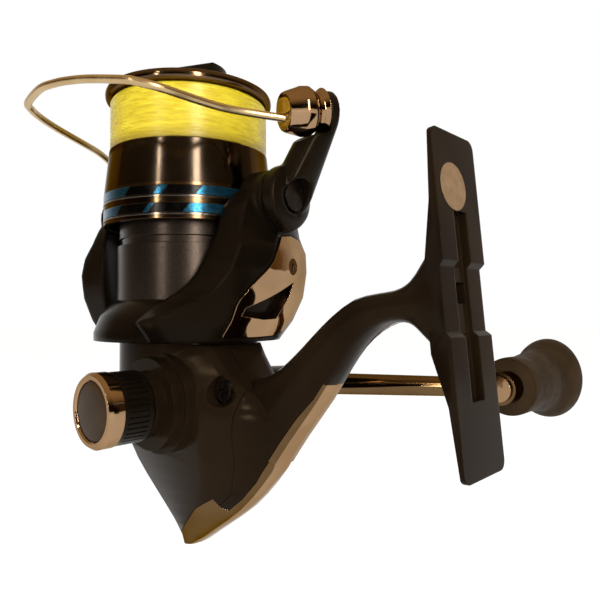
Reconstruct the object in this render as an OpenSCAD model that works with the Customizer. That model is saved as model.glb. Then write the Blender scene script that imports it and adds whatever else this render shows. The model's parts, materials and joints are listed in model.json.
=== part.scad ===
// Spinning reel with a front drag, a wire bail and a crank on its far side.
// Lengths are in millimetres. +Z runs along the spool axis toward the rod tip, +X points to the rod
// and +Y to the crank. The origin is the middle of the upper pad of the foot's rod face.
// Pieces are drawn about the spool axis, with z = 0 on the rotor's floor, and moved to that origin.

/* [Foot and stem] */
// Distance from the spool axis to the middle of the rod face
foot_reach = 76.3; // [74:0.1:84]
// Depth of the middle of the foot below the rotor floor
foot_drop = 1.6; // [0:0.1:4]
// Length of the foot
foot_l = 58; // [52:0.2:66]
// Width of the foot
foot_w = 15; // [13:0.2:18]
// Lean of the rod face against the spool axis, in degrees
foot_tilt = 5.8; // [4:0.2:7]
// Thickness of the foot at its ends
foot_tip_t = 0.8; // [0.6:0.1:1.4]
// Thickness of the foot at the stem
foot_root_t = 5.2; // [4.4:0.1:6.4]
// Corner radius at the foot's ends
foot_corner = 1.8; // [1:0.1:4]
// Depth of the step across the middle of the rod face
seat_step = 0.9; // [0.4:0.1:1.4]
// Length of that step
seat_step_l = 12.6; // [8:0.2:18]
// Width of the stem at its waist
stem_w = 9.8; // [8:0.2:13]

/* [Body] */
// Radius of the round neck under the rotor
neck_r = 17; // [16.2:0.1:17.6]
// Wall of the gear case
case_wall = 2; // [1.6:0.1:2.4]
// Radius of the bearing boss on the side cover
boss_r = 11.6; // [10.6:0.1:12.4]
// Radius of the boss that carries the one-way clutch
clutch_boss_r = 13.4; // [12.4:0.1:14.4]
// Width of the seam between the case and its covers
seam = 0.15; // [0.1:0.01:0.3]

/* [Crank] */
// Offset of the crank axis from the spool axis
crank_x = 7; // [6.6:0.1:8]
// Depth of the crank axis below the rotor floor
crank_drop = 24.2; // [23.8:0.1:25]
// Length of the crank arm
arm_l = 53.4; // [50:0.1:58]
// Lean of the crank arm above level, in degrees
arm_lean = 1.8; // [-10:0.1:10]
// Radius of the drive shaft
drive_r = 3.5; // [3:0.1:3.8]
// Radius of the drive gear
gear_r = 12; // [11:0.1:12.2]
// Teeth of the drive gear
gear_teeth = 35; // [28:1:42]
// Teeth of the pinion
pinion_teeth = 7; // [6:1:9]
// Radius of the screw cap's chrome ring
cap_r = 8.1; // [7.6:0.1:9.4]
// Radius of the bulb of the knob
knob_r = 11.2; // [9.8:0.1:12]
// Length of the knob
knob_l = 34.5; // [33:0.5:38]

/* [Rotor] */
// Radius of the rotor hub
hub_r = 17.6; // [17:0.1:18.4]
// Height of the rotor hub above its floor
hub_h = 21; // [19:0.2:22]
// Radius of the rotor's lower rim
rim_r = 23.1; // [22.4:0.1:25]
// Depth of the lower rim below the floor
rim_drop = 10.3; // [10:0.1:10.4]
// Angle of the rotor arms from the rod, in degrees
arm_angle = 6; // [-10:1:20]
// Largest radius of the rotor arms
arm_r = 30.4; // [30:0.1:31]

/* [Bail] */
// Height of the bail pivots above the rotor floor
pivot_z = 22.2; // [21.6:0.1:22.8]
// Radius of the bail pivot screws
pivot_r = 2; // [1.6:0.1:2.4]
// Thickness of the bail arm at its pivot
bail_t = 4; // [3:0.1:5]
// Diameter of the bail wire
wire_d = 1.7; // [1.4:0.1:2]
// Radius of the line roller
roller_r = 5; // [4.4:0.1:5.4]

/* [Spool] */
// Radius of the spool's front lip
lip_r = 20.75; // [20.2:0.05:21]
// Thickness of the front lip
lip_h = 2.4; // [1.6:0.1:3]
// Radius of the wound line
line_r = 19.5; // [18.6:0.1:20]
// Height of the wound line
line_h = 12.85; // [12:0.05:14]
// Radius of the skirt at its lower edge
skirt_r = 20.9; // [20.6:0.05:21.2]
// Height of the skirt
skirt_h = 18.45; // [17:0.05:19]
// Wall of the skirt
skirt_wall = 1.3; // [1:0.1:1.6]
// Height of the skirt's lower edge above the rotor floor
skirt_z = 17.25; // [16.5:0.05:18]
// Travel of the spool above its photographed place
stroke_up = 3.5; // [2.5:0.5:3.5]
// Travel of the spool below its photographed place
stroke_down = 7; // [5:0.5:7]
// Radius of the main shaft
shaft_r = 2; // [1.6:0.1:2.2]
// Radius of the drag knob
drag_r = 11.5; // [9:0.1:12.5]
// Thickness of the drawn line
line_d = 0.5; // [0.4:0.05:0.52]
// Turns of the drawn line
line_turns = 13; // [8:1:13]

/* [Fits] */
// Radial clearance of turning and sliding fits
run_fit = 0.05; // [0.01:0.01:0.1]
// Gap between pieces that pass each other
gap = 0.3; // [0.2:0.05:0.5]

/* [Hidden] */
$fn = 64;

black = "#1b1917";
dark = "#2c2a28";
chrome = "#c9c2b6";
steel = "#8f9194";
brass = "#b08d4a";
gunmetal = "#3b3a39";
blue = "#1f5f9c";

// Gear case: left edge, its half width, side corner, its half width, right edge, its half width, by height
case_levels = [
    [-60, [3, 3.8, 4.2, 4, 5.8, 2.6]],
    [-54, [1, 6, 9, 6.6, 14.6, 2.8]],
    [-48, [-5, 7, 15, 8.2, 22.9, 2.8]],
    [-41, [-12, 8, 18.6, 9.8, 30, 2.8]],
    [-34, [-16, 8.8, 19.4, 11.2, 35.2, 3]],
    [-26, [-17, 9.5, 19, 12.4, 37, 4.4]],
    [-18, [-16.6, 9.5, 12, 13.8, 24.4, 7]],
    [-11, [-14, 9, 8, 14, 18.6, 8]]];
case_corner = 2.2;
cavity_top = -11.9;
cavity_floor = -50;
neck_top = -rim_drop - gap;
neck_low = -18;
// Seam of the side cover, seen from the side, and the plane that it stops at
cover_seam = [[-30, neck_top + 4], [23, neck_top + 4], [23, neck_top], [29, -17.2], [26.8, -25],
    [25.6, -36.6], [23, -43.5], [8.7, -55.4], [2, -64], [-30, -64]];
cover_split = -3;
// Rear guard: outer edge and inner edge, seen from the side
guard_out = [[4, -66], [24, -54], [36, -44], [44, -34], [52, -22]];
guard_in = [[3.2, -57.6], [12.8, -48.6], [18.6, -45.2], [19.2, -47.6], [20.4, -48.2],
    [24.6, -44.8], [28.8, -40.4], [32.6, -35.4], [36.6, -30.3], [40.6, -25.5], [45, -20.8], [47.4, -17.6]];

// Stem stations: upper edge, lower edge, half width as a share of the waist
stem_stations = [
    [[26, -18.5], [33.6, -36.6], 0.56],
    [[32.5, -16.6], [38.2, -30.4], 0.54],
    [[38.4, -12.7], [45.2, -21.8], 0.52],
    [[43.9, -8.1], [49.7, -15.4], 0.5],
    [[49, -4], [53.5, -10.6], 0.48],
    [[54.3, -0.9], [57.4, -7.4], 0.47],
    [[59.5, 0.1], [61, -5.7], 0.47],
    [[63.4, 0.6], [64.8, -5.3], 0.49],
    [[66.2, 1.8], [67.7, -6.1], 0.52],
    [[68.6, 4.3], [70.2, -8.4], 0.56]];
stem_root = [[71.8, 9.6], [73.6, -11.6]];

// Screws of the side cover: place in x and z, and the seat of the head in y
case_screws = [[23.4, -20.6, -8], [-8.6, -34, -8.4]];
screw_head_r = 2.4;
screw_r = 1.2;
screw_l = 8;
screw_post_r = screw_r + 1.4;

// Anti-reverse lever on the side of the neck away from the rod
lever_y = 2.6;
lever_at = [-sqrt(neck_r * neck_r - lever_y * lever_y), lever_y, -15.4];
lever_pivot_r = 1.5;

// Crank train along Y
crank_z = -crank_drop;
gear_y = 6;
gear_t = 1.4;
tooth_h = 1.1;
gear_hub_r = drive_r + 1.6;
bearing_r = 6.5;
bearing_w = 3.9;
near_bearing_y = -19.4;
far_bearing_y = 10.6;
boss_y = -14.5;
boss_step_y = -17;
boss_end_y = near_bearing_y - 0.2;
cap_back_y = boss_end_y - 0.6;
cap_ring_y = -27.2;
cap_face_y = -30.6;
dome_r = cap_r - 1.75;
far_boss_y = far_bearing_y + bearing_w + 0.2;
hub_y = far_boss_y + 0.6;
knuckle_y = hub_y + 17;
arm_y = knuckle_y + 4.6;
eye_y = 48.6;
eye_t = 5;
eye_r = 4.1;
post_r = 2;
cap_stud_r = 2.1;
crank_hub_r = bearing_r - 0.6;
knob_y = eye_y + eye_t + gap;

// Oscillation gear and slider
stroke_mid = (stroke_up - stroke_down) / 2;
slider_z = -36;
osc_x = crank_x - 3;
osc_z = slider_z + stroke_mid;
osc_reach = sqrt(pow(crank_x - osc_x, 2) + pow(crank_z - osc_z, 2));
osc_teeth = 24;
osc_drive_teeth = 12;
osc_pitch = osc_reach * osc_teeth / (osc_teeth + osc_drive_teeth);
osc_y = -5.6;
osc_t = 1.4;
pin_r = 0.9;
pin_orbit = (stroke_up + stroke_down) / 2;
pin_angle = asin(-stroke_mid / pin_orbit);
slider_h = 5;
slider_y = [-shaft_r - 0.6, shaft_r + 1.2];
osc_post_r = 1.4;
guide_x = 12.5;
guide_r = 1;
guide_low = slider_z - stroke_down - slider_h / 2 - 2;
guide_high = cavity_top + 0.4;

// Rotor train along Z
cavity_r = hub_r - 2;
pinion_r = 4.3;
pinion_low = -19;
pinion_shaft_r = 3.3;
pinion_high = 14;
neck_bearing_r = 7;
neck_bearing_z = -10.8;
neck_bearing_h = 4;
clutch_r = 9.4;
clutch_z = -6.2;
clutch_h = 6.4;
clutch_top = clutch_z + clutch_h + 0.2;
deck_z = 3.6;
deck_t = 2.6;
groove_z = 13.2;

// Rotor arms, in a frame turned to the arm: x outward, y sideways, z up
arm_in = skirt_r + 1.5;
arm_t = arm_r - arm_in;
ear_r = 6.6;
ear_out = arm_r - 1.2;
far_ear_in = 0.35 * arm_t;
arm_low = -rim_drop + 0.25;
arm_foot_r = rim_r + 0.3;
// Outer profile of an arm; the far one draws in toward its ear
function arm_profile(side) = [[arm_foot_r, arm_low], [arm_foot_r + 0.56 * (arm_r - 0.9 - arm_foot_r), -5.6],
    [arm_r - 0.9, 0], [arm_r, 6],
    [arm_r - 0.1 - 0.3 * side * far_ear_in, 10.5], [arm_r - 1.6 - 0.6 * side * far_ear_in, 14.4],
    [ear_out - 1 - side * far_ear_in, 19], [ear_out - 1.2 - side * far_ear_in, pivot_z + ear_r - 0.6]];
arm_inner = [[arm_in, pivot_z + ear_r - 0.6], [arm_in, 3], [21.4, -2.5], [20.2, -6], [20.2, arm_low]];
arm_left = [[-27, -rim_drop - 1], [-25.2, -6.2], [-18.5, -1], [-14.2, 5.3], [-11.2, 13], [-9, 20],
    [-6.4, pivot_z + 1.4]];
arm_right = [[6.4, pivot_z + 1.4], [10.4, 18], [12.6, 9], [12.6, 0], [11, -rim_drop - 1]];
cover_t = 0.25 * arm_t;
cover_edge = [[-10.8, -9], [-11, -3.6], [-10.8, -0.6], [-7.6, 3.4], [-3.4, 7.6], [0.6, 13.6],
    [9, 13.6], [11.4, 10.6], [11.8, 2], [9.6, -6], [5, -9]];
cover_window = [[4.4, 3.4], [-8.8, -2.6], [-9.2, -4.4], [-3, -5.2], [1.2, -5]];
cover_screw = [3.6, 6.9];
cover_screw_r = 1.7;
cover_screw_l = 0.45 * arm_t;
spring_at = [arm_in + 0.2 * arm_t, 5.4, 9];
spring_r = 0.15 * arm_t;
spring_l = 8;

// Bail, in the same turned frame
bail_in = ear_out + gap;
bail_out = bail_in + bail_t;
lever_in = ear_out - far_ear_in + gap;
lever_out = lever_in + 3.2;
// The bail's shape is drawn for these two ears, and its ends slide out or in with the real ones
ear_drawn = 29.2;
far_ear_drawn = 26.4;
bail_slide = ear_out - ear_drawn;
lever_slide = ear_out - far_ear_in - far_ear_drawn;
function slid(p) = p + [p.x > 0 ? bail_slide * min(p.x / 27, 1) : -lever_slide * min(-p.x / 28, 1), 0, 0];
roller_at = slid([37.2, 3.1, 41.3]);
roller_axis = [-0.49, -0.86, -0.16];
roller_w = 3;
cone_l = 6;
roller_pin_r = 1.5;
pin_in_cone = 1.6;
eye_r_bail = roller_r - 0.7;
wire_shape = [[37.1, 0.4, 38.1], [36.5, -0.2, 38.2], [32.6, -4.1, 38.9], [29.6, -7.3, 39.3],
    [27, -10.8, 39.6], [25.1, -15, 39.7], [24.3, -20, 39.7], [23.6, -24.8, 39.8], [22.3, -28.7, 40.2],
    [19.8, -31.5, 40.9], [17.1, -33, 41.6], [8.6, -35, 43.1], [3.1, -35.9, 43.8], [-1.6, -36.3, 44.2],
    [-7.4, -36.3, 44.3], [-16.3, -34, 43.9], [-18.8, -32, 43.5], [-21.2, -28.4, 43],
    [-23.3, -23.3, 42.3], [-24.5, -18.4, 41.5], [-25.7, -13.3, 40.7], [-27.3, -7.9, 39.9],
    [-28.4, -3.4, 38.2], [-28.3, -1.4, 35.8], [-28.2, -1, 33.4], [-28.2, -1, 29]];
wire_path = [for (p = wire_shape) slid(p)];
wire_end = wire_path[len(wire_path) - 1];

// Spool, along Z
line_z = skirt_z + skirt_h;
lip_z = line_z + line_h;
spool_top = lip_z + lip_h;
skirt_top_r = line_r + 0.2;
arbor_r = line_r - 5;
deck_h = 2.2;
well_r = drag_r - 1.6;
well_z = line_z + 5.6;
knob_z = spool_top - 3.4;
knob_rim = 3.6;
knob_grip_h = 7.2;
band_h = 2.05;
band_z = [1.4, 5.4];
band_t = 0.5;
shaft_top = knob_z + knob_rim + 2;
washer_t = 0.8;
washers = 3;

// Middle of the rod face's upper pad, above the middle of the foot
pad_up = foot_l / 2 - 7;

module in_frame() {
    translate([pad_up * sin(foot_tilt) - foot_reach, 0, foot_drop - pad_up * cos(foot_tilt)]) children();
}

module at_crank() {
    translate([crank_x, 0, crank_z]) rotate([0, -arm_lean, 0]) children();
}

module at_arm(side = 0) {
    rotate([0, 0, arm_angle + 180 * side]) children();
}

// Cylinder along Y from y0 to y1
module rod_y(r, y0, y1) {
    translate([0, y0, 0]) rotate([-90, 0, 0]) cylinder(r = r, h = y1 - y0);
}

// Cylinder along X from x0 to x1
module rod_x(r, x0, x1) {
    translate([x0, 0, 0]) rotate([0, 90, 0]) cylinder(r = r, h = x1 - x0);
}

// Tube along Z with a bore
module ring(r, bore, z0, z1) {
    difference() {
        translate([0, 0, z0]) cylinder(r = r, h = z1 - z0);
        translate([0, 0, z0 - 1]) cylinder(r = bore, h = z1 - z0 + 2);
    }
}

// Tube along Y with a bore
module ring_y(r, bore, y0, y1) {
    difference() {
        rod_y(r, y0, y1);
        rod_y(bore, y0 - 1, y1 + 1);
    }
}

// Outline in (x, z) drawn out along Y
module slab_y(y0, y1) {
    translate([0, y1, 0]) rotate([90, 0, 0]) linear_extrude(y1 - y0) children();
}

// Outline in (y, z) drawn out along X
module slab_x(x0, x1) {
    translate([x0, 0, 0]) rotate([90, 0, 90]) linear_extrude(x1 - x0) children();
}

// Turns +Z to a direction
module aim(d) {
    rotate([0, acos(d.z / norm(d)), atan2(d.y, d.x)]) children();
}

// Outline of a gear with square-shouldered teeth
module gear_shape(teeth, root, tip) {
    step = 360 / teeth;
    polygon([for (i = [0:teeth - 1]) for (k = [[root, 0], [root, 0.4], [tip, 0.55], [tip, 0.85]])
        k[0] * [cos((i + k[1]) * step), sin((i + k[1]) * step)]]);
}

// Smooth open curve through points
function spline_at(a, b, c, d, t) =
    0.5 * (2 * b + (c - a) * t + (2 * a - 5 * b + 4 * c - d) * t * t
        + (3 * b - a - 3 * c + d) * t * t * t);
function curve(p, steps) = let (n = len(p) - 1) concat(
    [for (i = [0:n - 1]) for (k = [0:steps - 1])
        spline_at(p[max(i - 1, 0)], p[i], p[i + 1], p[min(i + 2, n)], k / steps)],
    [p[n]]);
function beside(p, d) = let (n = len(p) - 1) [for (i = [0:n])
    let (t = unit(p[min(i + 1, n)] - p[max(i - 1, 0)]))
    p[i] + d * [-t.y, t.x] + (i == n ? d * t : [0, 0])];
function flip(p) = [for (i = [len(p) - 1:-1:0]) p[i]];

// Solid through a row of closed rings of equal length, each one turning the same way
module loft(rings) {
    n = len(rings[0]);
    m = len(rings);
    sides = [for (j = [0:m - 2]) for (i = [0:n - 1]) let (k = (i + 1) % n) for (f =
        [[j * n + i, (j + 1) * n + i, (j + 1) * n + k], [j * n + i, (j + 1) * n + k, j * n + k]]) f];
    last = (m - 1) * n;
    first_cap = [for (i = [1:n - 2]) [0, i, i + 1]];
    last_cap = [for (i = [1:n - 2]) [last, last + i + 1, last + i]];
    polyhedron([for (r = rings) each r], concat(sides, first_cap, last_cap), convexity = 8);
}

// Tube of round section along points, its rings kept square to the path
function unit(v) = v / norm(v);
function tube_ring(p, i, r, sides, up) = let (
    n = len(p) - 1,
    d = unit(p[min(i + 1, n)] - p[max(i - 1, 0)]),
    a = unit(cross(up, d)),
    b = cross(d, a))
    [for (k = [0:sides - 1]) p[i] + r * (cos(360 * k / sides) * a + sin(360 * k / sides) * b)];
module tube(p, r, sides, up = [0, 0, 1]) {
    loft([for (i = [0:len(p) - 1]) tube_ring(p, i, r, sides, up)]);
}

// Corner of an outline cut by a short round
function corner(a, b, c, d) = [b + min(d, norm(a - b) / 2.2) * unit(a - b),
    b + 0.25 * min(d, norm(a - b) / 2.2) * unit(a - b) + 0.25 * min(d, norm(c - b) / 2.2) * unit(c - b),
    b + min(d, norm(c - b) / 2.2) * unit(c - b)];
function rounded(p, d) = let (n = len(p))
    [for (i = [0:n - 1]) each corner(p[(i + n - 1) % n], p[i], p[(i + 1) % n], d)];

// Section of the gear case at a height, drawn in by an inset
case_rows = curve([for (v = case_levels) concat([v[0]], v[1])], 2);
function case_value(z, k) = lookup(z, [for (v = case_rows) [v[0], v[k + 1]]]);
function case_section(z, inset) = let (
    x0 = case_value(z, 0) + inset,
    xm = case_value(z, 2),
    x1 = case_value(z, 4) - 1.4 * inset,
    w0 = case_value(z, 1) - inset,
    wm = case_value(z, 3) - inset,
    w1 = case_value(z, 5) - 1.2 * inset)
    [for (p = rounded([[x0, -w0], [xm, -wm], [x1, -w1], [x1, w1], [xm, wm], [x0, w0]], case_corner))
        [p.x, p.y, z]];

module case_solid() {
    loft([for (v = case_rows) case_section(v[0], 0)]);
}

module neck() {
    translate([0, 0, neck_low]) cylinder(r = neck_r, h = neck_top - neck_low);
}

module case_cavity() {
    loft([for (z = [cavity_floor, -46, -41, -34, -26, -18, cavity_top]) case_section(z, case_wall)]);
}

// Stem section between an upper and a lower edge
function squared(t) = sign(t) * pow(abs(t), 0.62);
function stem_section(s) = let (c = (s[0] + s[1]) / 2, v = (s[0] - s[1]) / 2, w = s[2] * stem_w)
    [for (k = [0:15]) let (x = squared(cos(22.5 * k)), y = squared(sin(22.5 * k)))
        [c.x + v.x * x, -w * y, c.y + v.y * x]];

module stem() {
    rows = concat(stem_stations, [[stem_root[0], stem_root[1], 0.6]]);
    upper = curve([for (s = rows) s[0]], 2);
    lower = curve([for (s = rows) s[1]], 2);
    half = curve([for (s = rows) s[2]], 2);
    loft([for (i = [0:len(upper) - 1]) stem_section([upper[i], lower[i], half[i]])]);
}

module foot_end_shape() {
    corner_z = foot_l / 2 - foot_corner;
    square([foot_w - 2 * foot_corner, foot_l], center = true);
    square([foot_w, foot_l - 2 * foot_corner], center = true);
    for (y = [-1, 1]) for (z = [-1, 1])
        translate([y * (foot_w / 2 - foot_corner), z * corner_z]) circle(r = foot_corner);
}

module foot() {
    root_low = -8.4;
    root_high = 5;
    rod_edge = 0.4;
    shoulder = [2, 17];
    step_ramp = 0.9;
    channel_w = 4.6;
    channel = 0.7;
    pocket = [4.4, 3.6];
    translate([foot_reach, 0, -foot_drop]) rotate([0, -foot_tilt, 0]) difference() {
        intersection() {
            slab_y(-foot_w, foot_w) polygon([[0, -foot_l / 2], [0, foot_l / 2], [-foot_tip_t, foot_l / 2],
                [-shoulder.x, shoulder.y], [-foot_root_t, root_high], [-foot_root_t, root_low],
                [-shoulder.x, -shoulder.y], [-foot_tip_t, -foot_l / 2]]);
            slab_x(-2 * foot_root_t, 1) foot_end_shape();
            translate([0, 0, -foot_l]) linear_extrude(2 * foot_l) polygon([
                [1, -foot_w / 2], [-rod_edge, -foot_w / 2], [-foot_root_t - 1, -foot_w / 2 + 3],
                [-foot_root_t - 1, foot_w / 2 - 3], [-rod_edge, foot_w / 2], [1, foot_w / 2]]);
        }
        translate([0, 0, 0.4]) slab_y(-foot_w, foot_w) polygon([
            [-seat_step, step_ramp - seat_step_l / 2], [0, -seat_step_l / 2], [2, -seat_step_l / 2],
            [2, seat_step_l / 2], [0, seat_step_l / 2], [-seat_step, seat_step_l / 2 - step_ramp]]);
        translate([-seat_step - channel, -channel_w / 2, -foot_l / 2 + 12.4])
            cube([4, channel_w, foot_l - 26]);
        translate([-seat_step - 2.6, -pocket.x / 2, -pocket.y / 2 + 1.6]) cube([5, pocket.x, pocket.y]);
    }
}

// Space that the rear guard takes, grown by a seam
module guard_space(grow) {
    slab_y(-20, 20) polygon(concat(
        [for (p = guard_out) p + [4 + grow, -3 + grow]],
        flip(beside(guard_in, grow))));
}

module cover_space(grow) {
    slab_y(-20, cover_split + grow) polygon([for (p = cover_seam) p + [grow, 0]]);
}

module at_case_screws() {
    for (s = case_screws) translate([s[0], 0, s[1]]) children();
}

module screw_wells() {
    for (s = case_screws) translate([s[0], 0, s[1]]) {
        rod_y(screw_head_r + 1, -20, s[2] + 0.4);
        rod_y(screw_r + run_fit, s[2], 2);
    }
}

module body_frame() {
    color(black) in_frame() difference() {
        union() {
            difference() {
                union() {
                    case_solid();
                    stem();
                    neck();
                }
                guard_space(seam);
                cover_space(seam);
                case_cavity();
            }
            foot();
            translate([0, 0, cavity_top]) cylinder(r = clutch_boss_r, h = clutch_top - cavity_top);
            translate([crank_x, 0, crank_z]) rod_y(bearing_r + 2.4, 8.9, far_boss_y);
            translate([guide_x - 1.8, -1.8, guide_low - 0.4]) cube([3.6, 9, 2]);
            translate([guide_x, 0, cavity_top - 2.4]) cylinder(r = guide_r + 1.4, h = 3);
            at_case_screws() rod_y(screw_post_r, cover_split + seam, 8);
        }
        translate([crank_x, 0, crank_z]) {
            rod_y(bearing_r, far_bearing_y, far_boss_y + 1);
            rod_y(drive_r + gap, 4, far_boss_y);
        }
        translate([0, 0, neck_bearing_z]) cylinder(r = neck_bearing_r, h = 12);
        translate([0, 0, clutch_z]) cylinder(r = clutch_r, h = 12);
        translate([0, 0, cavity_top - 2]) cylinder(r = pinion_r + gap, h = 6);
        translate([guide_x, 0, guide_low]) cylinder(r = guide_r, h = guide_high - guide_low);
        for (k = [0:2]) rotate([0, 0, 60 + 120 * k]) translate([clutch_boss_r - 1.9, 0, clutch_top - 5])
            cylinder(r = 0.8, h = 8);
        at_case_screws() rod_y(screw_r + run_fit, cover_split - 1, 1);
        lever_seat(gap);
        guard_space(seam);
    }
}

module side_cover() {
    color(black) in_frame() difference() {
        union() {
            difference() {
                intersection() {
                    union() {
                        case_solid();
                        neck();
                    }
                    cover_space(0);
                }
                guard_space(seam);
                case_cavity();
                translate([0, 0, cavity_top - 1]) cylinder(r = clutch_boss_r + seam, h = 10);
            }
            translate([crank_x, 0, crank_z]) {
                rod_y(boss_r, boss_y, -9.6);
                rod_y(boss_r - 1.2, boss_step_y, boss_y);
                rod_y(bearing_r + 1, boss_end_y, boss_step_y);
            }
            translate([osc_x, 0, osc_z]) rod_y(osc_post_r, -8.5, osc_y + osc_t);
        }
        translate([crank_x, 0, crank_z]) {
            rod_y(bearing_r, boss_end_y - 1, near_bearing_y + bearing_w);
            rod_y(drive_r + gap, near_bearing_y, 0);
        }
        screw_wells();
    }
}

module rear_guard() {
    color(chrome) in_frame() difference() {
        intersection() {
            union() {
                case_solid();
                stem();
            }
            guard_space(0);
        }
        case_cavity();
    }
}

module cross_screw(head_r, head_h, r, l) {
    difference() {
        union() {
            translate([0, 0, -head_h]) cylinder(r = head_r, h = head_h);
            translate([0, 0, -head_h - l]) cylinder(r = r, h = l);
        }
        for (a = [0, 90]) rotate([0, 0, a]) translate([-head_r * 0.6, -head_r * 0.14, -head_h * 0.6])
            cube([head_r * 1.2, head_r * 0.28, head_h]);
    }
}

module body_screws() {
    color(steel) in_frame() for (s = case_screws) translate([s[0], s[2] - 0.8, s[1]]) rotate([90, 20, 0])
        cross_screw(screw_head_r, 1.2, screw_r, screw_l);
}

module crank_bearings() {
    color(steel) in_frame() translate([crank_x, 0, crank_z]) for (y = [near_bearing_y, far_bearing_y])
        ring_y(bearing_r, drive_r + run_fit, y, y + bearing_w);
}

module clutch_housing_bearing() {
    color(steel) in_frame()
        ring(neck_bearing_r, pinion_shaft_r + run_fit, neck_bearing_z, neck_bearing_z + neck_bearing_h);
}

module roller_clutch() {
    color(dark) in_frame() ring(clutch_r, pinion_shaft_r + run_fit, clutch_z, clutch_z + clutch_h);
}

module clutch_cover() {
    color(steel) in_frame() difference() {
        ring(clutch_boss_r - 0.2, pinion_shaft_r + 1.2, clutch_top, clutch_top + 1);
        for (k = [0:2]) rotate([0, 0, 60 + 120 * k]) translate([clutch_boss_r - 1.9, 0, clutch_top - 1])
            cylinder(r = 0.8 + run_fit, h = 3);
    }
}

module clutch_screws() {
    color(steel) in_frame() for (k = [0:2]) rotate([0, 0, 60 + 120 * k])
        translate([clutch_boss_r - 1.9, 0, clutch_top + 1.7]) cross_screw(1.4, 0.7, 0.8, 5);
}

module guide_rod() {
    color(steel) in_frame() translate([guide_x, 0, guide_low])
        cylinder(r = guide_r, h = guide_high - guide_low);
}

// Seat of the anti-reverse lever
module lever_seat(grow) {
    translate(lever_at) {
        rod_x(3.4 + grow, -3, 0.9 + grow);
        rod_x(lever_pivot_r + run_fit, -2, case_wall + 2);
    }
}

module anti_reverse_lever() {
    color(dark) in_frame() translate(lever_at) {
        rod_x(lever_pivot_r, -0.8, case_wall + 0.6);
        rod_x(3.2, -0.8, 0.8);
        translate([-1.6, -0.8, -3]) cube([1.2, 1.6, 6]);
    }
}

module drive_gear() {
    color(brass) in_frame() at_crank() difference() {
        union() {
            rod_y(drive_r, near_bearing_y - 0.2, hub_y);
            rod_y(gear_r, gear_y, gear_y + gear_t);
            rod_y(gear_hub_r, gear_y - 1.4, gear_y + gear_t + 0.2);
            slab_y(gear_y - tooth_h, gear_y) gear_shape(gear_teeth, gear_r - 3.4, gear_r - 0.15);
            slab_y(osc_y, osc_y + osc_t)
                gear_shape(osc_drive_teeth, drive_r + 0.2, osc_reach - osc_pitch - 0.2);
        }
        rod_y(cap_stud_r + run_fit, near_bearing_y - 2, near_bearing_y + 8);
        rod_y(cap_stud_r + run_fit, hub_y - 8, hub_y + 2);
    }
}

module screw_cap() {
    ribs = 40;
    color(black) in_frame() at_crank() {
        difference() {
            rod_y(cap_r - 0.2, cap_ring_y, cap_back_y);
            for (k = [0:ribs - 1]) rotate([0, k * 360 / ribs, 0])
                translate([cap_r - 0.5, cap_ring_y + 1, -0.2]) cube([1, cap_back_y - cap_ring_y - 2, 0.4]);
        }
        rod_y(bearing_r - 1, cap_back_y, near_bearing_y - 0.2);
        rod_y(cap_stud_r, cap_back_y, near_bearing_y + 7);
    }
}

module cap_ring() {
    color(chrome) in_frame() at_crank() rotate([90, 0, 0]) rotate_extrude() polygon([
        [dome_r, -cap_ring_y], [cap_r, -cap_ring_y], [cap_r, -cap_face_y - 0.8],
        [cap_r - 0.6, -cap_face_y], [dome_r + 0.3, -cap_face_y], [dome_r, -cap_face_y - 0.3]]);
}

module cap_dome() {
    crown = 0.6;
    base = -cap_face_y - 0.5;
    color(dark) in_frame() at_crank() rotate([90, 0, 0]) rotate_extrude() polygon(concat(
        [[0, -cap_ring_y], [dome_r, -cap_ring_y]],
        [for (k = [0:8]) [dome_r * cos(90 * k / 8), base + crown * sin(90 * k / 8)]]));
}

module crank_hub() {
    color(black) in_frame() at_crank() difference() {
        union() {
            rod_y(cap_stud_r, hub_y - 7, hub_y);
            rod_y(crank_hub_r, hub_y, hub_y + 5);
            translate([0, hub_y + 5, 0]) rotate([-90, 0, 0])
                cylinder(r1 = crank_hub_r, r2 = 5.4, h = knuckle_y - hub_y - 5);
            rod_y(5.4, knuckle_y, arm_y + 3.4);
        }
        translate([-3.2, knuckle_y + 0.8, -3.2]) cube([20, 20, 6.4]);
        cylinder_z(1.5, arm_y, 12);
    }
}

// Pin along Z through the knuckle
module cylinder_z(r, y, l) {
    translate([0, y, -l / 2]) cylinder(r = r, h = l);
}

module crank_pin() {
    color(steel) in_frame() at_crank() cylinder_z(1.5, arm_y, 9.6);
}

module crank_arm() {
    tongue = 3.1;
    start = [4, arm_y, 0];
    finish = [arm_l - eye_r + 0.6, eye_y + eye_t / 2, 0];
    color(chrome) in_frame() at_crank() difference() {
        union() {
            translate([-tongue + 0.2, arm_y - 2.6, -tongue]) cube([8, 5.4, 2 * tongue]);
            translate(start) aim(finish - start) cylinder(r1 = 3.1, r2 = 2.45, h = norm(finish - start));
            translate([arm_l, 0, 0]) rod_y(eye_r, eye_y, eye_y + eye_t);
        }
        cylinder_z(1.5, arm_y, 12);
        translate([arm_l, 0, 0]) rod_y(post_r, eye_y - 1, eye_y + eye_t + 1);
    }
}

module at_knob() {
    at_crank() translate([arm_l, 0, 0]) children();
}

module knob_post() {
    color(steel) in_frame() at_knob() {
        rod_y(post_r, eye_y, knob_y + knob_l - 5);
        rod_y(post_r + 1.2, eye_y - 0.8, eye_y);
        rod_y(post_r + 1.1, knob_y + knob_l - 5, knob_y + knob_l - 4);
    }
}

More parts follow.
